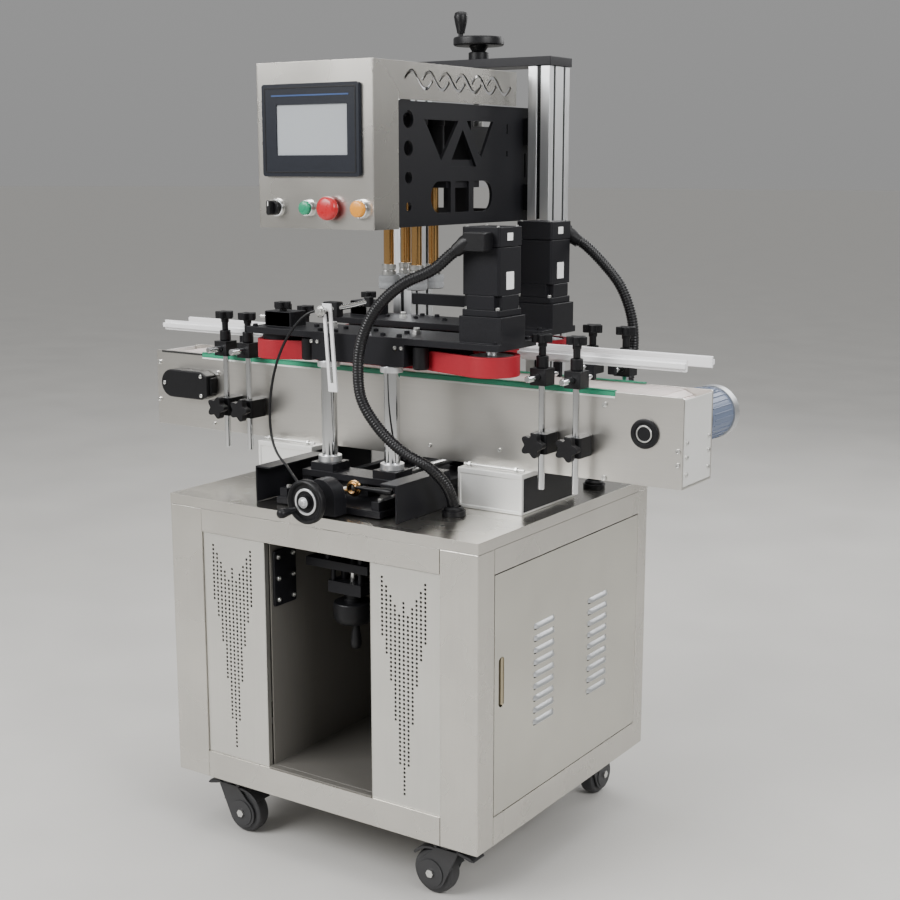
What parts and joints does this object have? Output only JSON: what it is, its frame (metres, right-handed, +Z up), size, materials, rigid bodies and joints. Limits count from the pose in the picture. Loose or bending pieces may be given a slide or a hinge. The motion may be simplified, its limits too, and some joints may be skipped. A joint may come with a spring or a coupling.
{
  "type": "capping machine",
  "caption": "Floor-standing bottle capping machine: steel cabinet on casters, slat-chain conveyor, motorised grip belts and a height-adjustable head with turning spindles.",
  "frame": {"origin": "bottom centre of the machine's box, on the floor", "axes": "+X along the conveyor towards the drive motor, +Y from the operator's side to the back, +Z up"},
  "size_m": [1.2244, 0.7236, 1.5943],
  "materials": {
    "stainless": "brushed stainless sheet",
    "conveyor_steel": "satin stainless sheet",
    "silver_aluminium": "clear anodised extrusion",
    "white_aluminium": "bead blasted and clear anodised",
    "black_aluminium": "black anodised",
    "black_paint": "fine textured black paint",
    "chrome": "polished hard chrome",
    "black_plastic": "moulded black plastic",
    "caster_plastic": "hard black tread",
    "belt_red": "soft red grip belt",
    "chain_plastic": "pale slat chain",
    "brass": "turned brass",
    "motor_blue": "blue-grey enamel",
    "green_button": "translucent green",
    "red_button": "glossy red",
    "yellow_button": "glossy amber",
    "conduit": "corrugated nylon"
  },
  "bodies": {
    "cabinet": {"cabinet_frame": "stainless", "table_top": "stainless", "front_panel_left": "stainless", "front_panel_right": "stainless", "bay_liner": "stainless", "rear_panel": "stainless", "base_cover_left": "black_paint", "base_cover_right": "black_paint", "conveyor_foot_left": "white_aluminium", "conveyor_foot_right": "white_aluminium", "conveyor_frame": "conveyor_steel", "conveyor_chain": "chain_plastic", "conveyor_motor": "motor_blue", "column_left": "silver_aluminium", "column_right": "silver_aluminium", "column_cap": "black_aluminium", "lift_guide": "black_paint"},
    "door": {"door_right": "stainless"},
    "caster_front_left": {"caster_fork_front_left": "black_paint"},
    "wheel_front_left": {"caster_wheel_front_left": "caster_plastic"},
    "caster_front_right": {"caster_fork_front_right": "black_paint"},
    "wheel_front_right": {"caster_wheel_front_right": "caster_plastic"},
    "caster_rear_left": {"caster_fork_rear_left": "black_paint"},
    "wheel_rear_left": {"caster_wheel_rear_left": "caster_plastic"},
    "caster_rear_right": {"caster_fork_rear_right": "black_paint"},
    "wheel_rear_right": {"caster_wheel_rear_right": "caster_plastic"},
    "drive_roller": {"drive_roller": "black_plastic"},
    "idler_roller": {"idler_roller": "black_plastic"},
    "guide_rail_front_left": {"guide_rail_front_left": "silver_aluminium"},
    "guide_rail_front_right": {"guide_rail_front_right": "silver_aluminium"},
    "guide_rail_rear_left": {"guide_rail_rear_left": "silver_aluminium"},
    "guide_rail_rear_right": {"guide_rail_rear_right": "silver_aluminium"},
    "lift": {"lift_platform": "black_paint"},
    "lift_wheel": {"lift_handwheel": "black_plastic"},
    "width_wheel": {"width_handwheel": "silver_aluminium"},
    "clamp_front": {"carriage_front": "chrome", "clamp_plate_front": "black_aluminium", "servo_motor_front": "black_paint", "grip_belt_front": "belt_red", "conduit_front": "conduit", "sensor_cable": "conduit"},
    "clamp_rear": {"carriage_rear": "chrome", "clamp_plate_rear": "black_aluminium", "servo_motor_rear": "black_paint", "grip_belt_rear": "belt_red", "conduit_rear": "conduit"},
    "pulley_front": {"drive_pulley_front": "silver_aluminium"},
    "pulley_rear": {"drive_pulley_rear": "silver_aluminium"},
    "head": {"head_frame": "black_paint", "hmi_box": "stainless", "hmi_panel": "black_plastic"},
    "head_wheel": {"head_handwheel": "black_plastic"},
    "selector": {"selector_switch": "black_plastic"},
    "green_button": {"green_button": "green_button"},
    "red_button": {"red_button": "red_button"},
    "yellow_button": {"yellow_button": "yellow_button"},
    "spindle_1": {"spindle_1": "brass"},
    "spindle_2": {"spindle_2": "brass"},
    "spindle_3": {"spindle_3": "brass"},
    "spindle_4": {"spindle_4": "brass"}
  },
  "joints": [
    {"name": "door_hinge", "type": "hinge", "parent": "cabinet", "child": "door", "pos_m": [0.35725, 0.30905, 0.395], "axis": [0, 0, 1], "range_deg": [0, 110]},
    {"name": "caster_swivel_front_left", "type": "hinge", "parent": "cabinet", "child": "caster_front_left", "pos_m": [-0.25075, -0.22275, 0.11], "axis": [0, 0, 1], "continuous": true},
    {"name": "wheel_spin_front_left", "type": "hinge", "parent": "caster_front_left", "child": "wheel_front_left", "pos_m": [-0.21875, -0.22275, 0.0425], "axis": [0, 1, 0], "continuous": true},
    {"name": "caster_swivel_front_right", "type": "hinge", "parent": "cabinet", "child": "caster_front_right", "pos_m": [0.26525, -0.22275, 0.11], "axis": [0, 0, 1], "continuous": true},
    {"name": "wheel_spin_front_right", "type": "hinge", "parent": "caster_front_right", "child": "wheel_front_right", "pos_m": [0.23325, -0.22275, 0.0425], "axis": [0, 1, 0], "continuous": true},
    {"name": "caster_swivel_rear_left", "type": "hinge", "parent": "cabinet", "child": "caster_rear_left", "pos_m": [-0.25075, 0.28725, 0.11], "axis": [0, 0, 1], "continuous": true},
    {"name": "wheel_spin_rear_left", "type": "hinge", "parent": "caster_rear_left", "child": "wheel_rear_left", "pos_m": [-0.25075, 0.31925, 0.0425], "axis": [1, 0, 0], "continuous": true},
    {"name": "caster_swivel_rear_right", "type": "hinge", "parent": "cabinet", "child": "caster_rear_right", "pos_m": [0.26525, 0.28725, 0.11], "axis": [0, 0, 1], "continuous": true},
    {"name": "wheel_spin_rear_right", "type": "hinge", "parent": "caster_rear_right", "child": "wheel_rear_right", "pos_m": [0.26525, 0.31925, 0.0425], "axis": [1, 0, 0], "continuous": true},
    {"name": "drive_roller_spin", "type": "hinge", "parent": "cabinet", "child": "drive_roller", "pos_m": [0.53525, 0.0248, 0.846], "axis": [0, 1, 0], "continuous": true},
    {"name": "idler_roller_spin", "type": "hinge", "parent": "cabinet", "child": "idler_roller", "pos_m": [-0.54175, 0.0248, 0.846], "axis": [0, 1, 0], "continuous": true},
    {"name": "guide_rail_front_left_slide", "type": "slide", "parent": "cabinet", "child": "guide_rail_front_left", "axis": [0, 1, 0], "range_m": [-0.005, 0.02]},
    {"name": "guide_rail_front_right_slide", "type": "slide", "parent": "cabinet", "child": "guide_rail_front_right", "axis": [0, 1, 0], "range_m": [-0.005, 0.02]},
    {"name": "guide_rail_rear_left_slide", "type": "slide", "parent": "cabinet", "child": "guide_rail_rear_left", "axis": [0, -1, 0], "range_m": [-0.005, 0.02]},
    {"name": "guide_rail_rear_right_slide", "type": "slide", "parent": "cabinet", "child": "guide_rail_rear_right", "axis": [0, -1, 0], "range_m": [-0.005, 0.02]},
    {"name": "lift_slide", "type": "slide", "parent": "cabinet", "child": "lift", "axis": [0, 0, 1], "range_m": [0, 0.03]},
    {"name": "lift_wheel_turn", "type": "hinge", "parent": "cabinet", "child": "lift_wheel", "pos_m": [0.00725, -0.16775, 0.48], "axis": [0, 0, 1], "range_deg": [0, 1080]},
    {"name": "clamp_front_slide", "type": "slide", "parent": "lift", "child": "clamp_front", "axis": [0, 1, 0], "range_m": [-0.01, 0.025], "deforming": ["conduit_front", "sensor_cable"]},
    {"name": "clamp_rear_slide", "type": "slide", "parent": "lift", "child": "clamp_rear", "axis": [0, 1, 0], "range_m": [-0.025, 0.01], "deforming": ["conduit_rear"]},
    {"name": "width_wheel_turn", "type": "hinge", "parent": "lift", "child": "width_wheel", "pos_m": [0.01725, -0.30775, 0.714], "axis": [0, 1, 0], "range_deg": [-360, 900]},
    {"name": "pulley_front_spin", "type": "hinge", "parent": "clamp_front", "child": "pulley_front", "pos_m": [0.27225, -0.1092, 0.95], "axis": [0, 0, 1], "continuous": true},
    {"name": "pulley_rear_spin", "type": "hinge", "parent": "clamp_rear", "child": "pulley_rear", "pos_m": [0.21925, 0.1588, 0.95], "axis": [0, 0, 1], "continuous": true},
    {"name": "head_slide", "type": "slide", "parent": "cabinet", "child": "head", "axis": [0, 0, 1], "range_m": [-0.025, 0.07]},
    {"name": "head_wheel_turn", "type": "hinge", "parent": "cabinet", "child": "head_wheel", "pos_m": [0.00925, 0.25625, 1.52], "axis": [0, 0, 1], "range_deg": [-900, 2520]},
    {"name": "selector_turn", "type": "hinge", "parent": "head", "child": "selector", "pos_m": [-0.07875, -0.26775, 1.2225], "axis": [0, 1, 0], "range_deg": [-45, 45]},
    {"name": "green_button_push", "type": "slide", "parent": "head", "child": "green_button", "axis": [0, 1, 0], "range_m": [0, 0.005], "stiffness_N_per_m": 400, "springref_m": -0.002},
    {"name": "red_button_push", "type": "slide", "parent": "head", "child": "red_button", "axis": [0, 1, 0], "range_m": [0, 0.005], "stiffness_N_per_m": 400, "springref_m": -0.002},
    {"name": "yellow_button_push", "type": "slide", "parent": "head", "child": "yellow_button", "axis": [0, 1, 0], "range_m": [0, 0.005], "stiffness_N_per_m": 400, "springref_m": -0.002},
    {"name": "spindle_1_spin", "type": "hinge", "parent": "head", "child": "spindle_1", "pos_m": [-0.02475, -0.0032, 1.1], "axis": [0, 0, 1], "continuous": true},
    {"name": "spindle_2_spin", "type": "hinge", "parent": "head", "child": "spindle_2", "pos_m": [0.03925, -0.0032, 1.1], "axis": [0, 0, 1], "continuous": true},
    {"name": "spindle_3_spin", "type": "hinge", "parent": "head", "child": "spindle_3", "pos_m": [-0.02475, 0.0528, 1.1], "axis": [0, 0, 1], "continuous": true},
    {"name": "spindle_4_spin", "type": "hinge", "parent": "head", "child": "spindle_4", "pos_m": [0.03925, 0.0528, 1.1], "axis": [0, 0, 1], "continuous": true}
  ],
  "couplings": [
    {"joint": "idler_roller_spin", "follows": "drive_roller_spin", "ratio": 1},
    {"joint": "lift_wheel_turn", "follows": "lift_slide", "rad_per_m": 628.3},
    {"joint": "clamp_rear_slide", "follows": "clamp_front_slide", "ratio": -1},
    {"joint": "width_wheel_turn", "follows": "clamp_front_slide", "rad_per_m": 628.3},
    {"joint": "pulley_rear_spin", "follows": "pulley_front_spin", "ratio": -1},
    {"joint": "head_wheel_turn", "follows": "head_slide", "rad_per_m": 628.3},
    {"joint": "spindle_2_spin", "follows": "spindle_1_spin", "ratio": 1},
    {"joint": "spindle_3_spin", "follows": "spindle_1_spin", "ratio": 1},
    {"joint": "spindle_4_spin", "follows": "spindle_1_spin", "ratio": 1}
  ]
}
